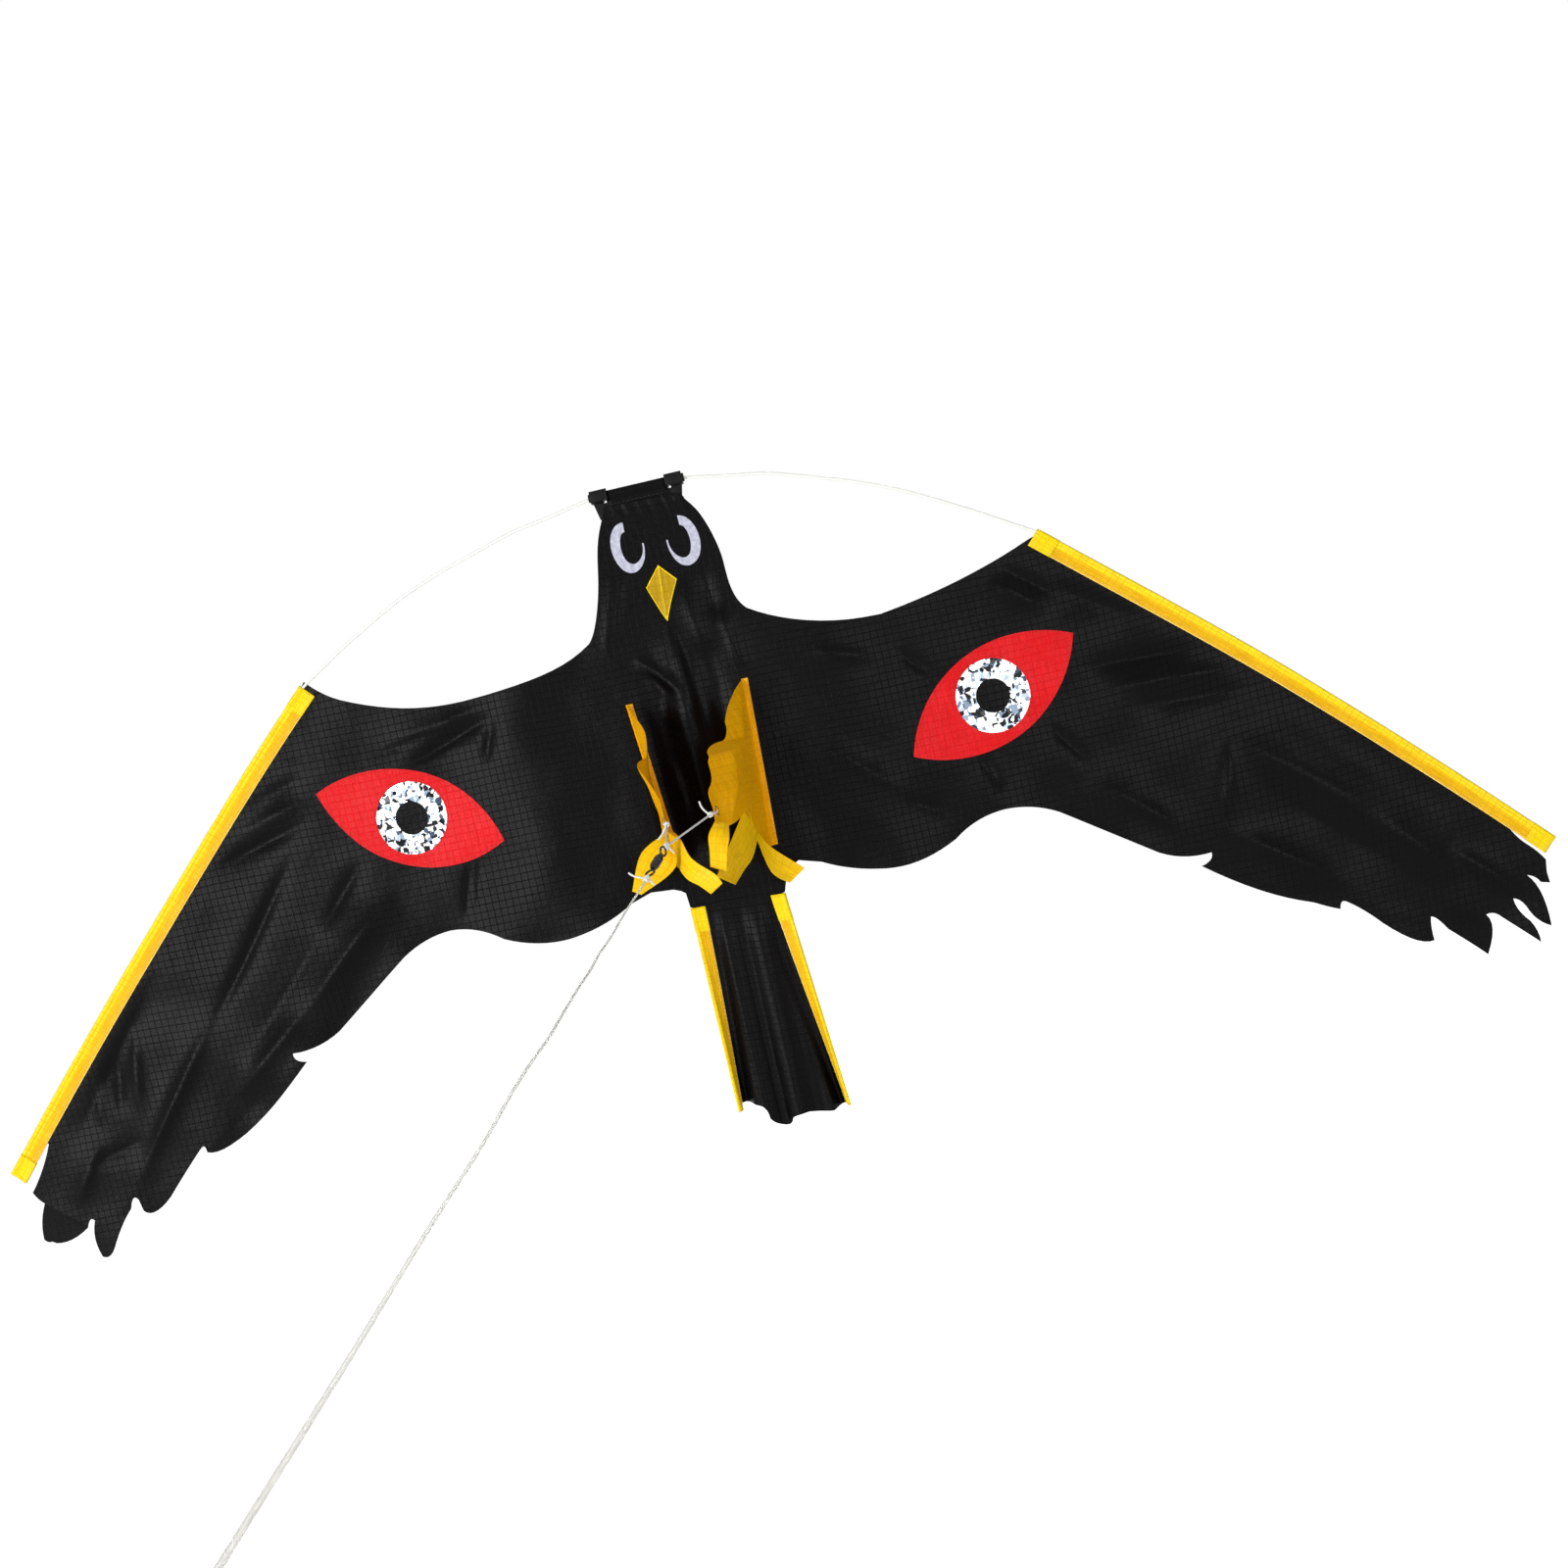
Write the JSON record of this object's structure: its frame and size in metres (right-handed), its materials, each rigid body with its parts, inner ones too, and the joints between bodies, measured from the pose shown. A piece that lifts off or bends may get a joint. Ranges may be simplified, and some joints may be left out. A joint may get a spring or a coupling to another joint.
{
  "type": "bird scarer kite",
  "caption": "Hawk-shaped ripstop kite that scares birds, with bowed spars, legged keels, a rod-stiffened tail, and a bridle with a swivel and a flying line.",
  "frame": {"origin": "the tow point: the knot where the two legs of the bridle meet", "axes": "+X to the viewer's right across the span, +Y from the belly to the back, +Z from the tail to the head"},
  "size_m": [1.2952, 1.2809, 0.518],
  "materials": {
    "ripstop_black": "charcoal ripstop nylon with a fine woven grid",
    "ripstop_yellow": "amber yellow ripstop nylon",
    "tab_yellow": "bright yellow ripstop nylon, folded double",
    "keel_yellow": "orange yellow ripstop nylon",
    "eye_red": "red ripstop nylon",
    "eye_foil": "crumpled silver foil film that glitters",
    "mark_white": "pale reflective film",
    "glass_fibre": "pultruded white glass fibre",
    "black_plastic": "moulded black nylon",
    "eyelet_brass": "rolled brass",
    "swivel_black": "black nickel",
    "white_cord": "braided polyester cord"
  },
  "bodies": {
    "kite_body": {"body_panel": "ripstop_black", "head_hem": "ripstop_black", "left_spar_root": "glass_fibre", "right_spar_root": "glass_fibre", "head_bar": "black_plastic", "left_head_clip": "black_plastic", "right_head_clip": "black_plastic", "left_keel": "keel_yellow", "right_keel": "keel_yellow", "left_eyelet": "eyelet_brass", "right_eyelet": "eyelet_brass", "head_eye_marks": "mark_white", "beak_patch": "keel_yellow", "left_bridle_tie": "white_cord", "right_bridle_tie": "white_cord", "tie_knots": "white_cord"},
    "left_wing": {"left_wing_panel": "ripstop_black", "left_leading_sleeve": "ripstop_yellow", "left_inner_tab": "tab_yellow", "left_tip_tab": "tab_yellow", "left_spar": "glass_fibre", "left_eye_patch": "eye_red", "left_eye_foil": "eye_foil"},
    "right_wing": {"right_wing_panel": "ripstop_black", "right_leading_sleeve": "ripstop_yellow", "right_inner_tab": "tab_yellow", "right_tip_tab": "tab_yellow", "right_spar": "glass_fibre", "right_eye_patch": "eye_red", "right_eye_foil": "eye_foil"},
    "tail": {"tail_panel": "ripstop_black", "left_tail_sleeve": "ripstop_yellow", "right_tail_sleeve": "ripstop_yellow", "left_tail_tab": "tab_yellow", "right_tail_tab": "tab_yellow", "left_tail_rod": "glass_fibre", "right_tail_rod": "glass_fibre"},
    "bridle": {"left_bridle_leg": "white_cord", "right_bridle_leg": "white_cord", "tow_knot": "white_cord", "swivel_upper_eye": "swivel_black", "swivel_lower_eye": "swivel_black", "line_knot": "white_cord", "kite_line": "white_cord", "line_end_knot": "white_cord", "line_end_loop": "white_cord"},
    "swivel": {"swivel_barrel": "swivel_black"}
  },
  "joints": [
    {"name": "left_wing_flap", "type": "hinge", "parent": "kite_body", "child": "left_wing", "pos_m": [-0.044, 0.18, 0.089], "axis": [0, 0, -1], "range_deg": [-12, 20], "stiffness_Nm_per_rad": 0.3},
    {"name": "right_wing_flap", "type": "hinge", "parent": "kite_body", "child": "right_wing", "pos_m": [0.076, 0.18, 0.089], "axis": [0, 0, 1], "range_deg": [-12, 20], "stiffness_Nm_per_rad": 0.3},
    {"name": "tail_flap", "type": "hinge", "parent": "kite_body", "child": "tail", "pos_m": [0.022, 0.18, -0.0495], "axis": [1, 0, 0], "range_deg": [-20, 45]},
    {"name": "bridle_swing", "type": "hinge", "parent": "kite_body", "child": "bridle", "pos_m": [0.01156, 0.06694, 0.012], "axis": [0.9974, 0.0718, 0], "range_deg": [-25, 25]},
    {"name": "swivel_spin", "type": "hinge", "parent": "bridle", "child": "swivel", "pos_m": [-0.00704, -0.01364, -0.00841], "axis": [-0.4026, -0.7792, -0.4805], "continuous": true}
  ]
}
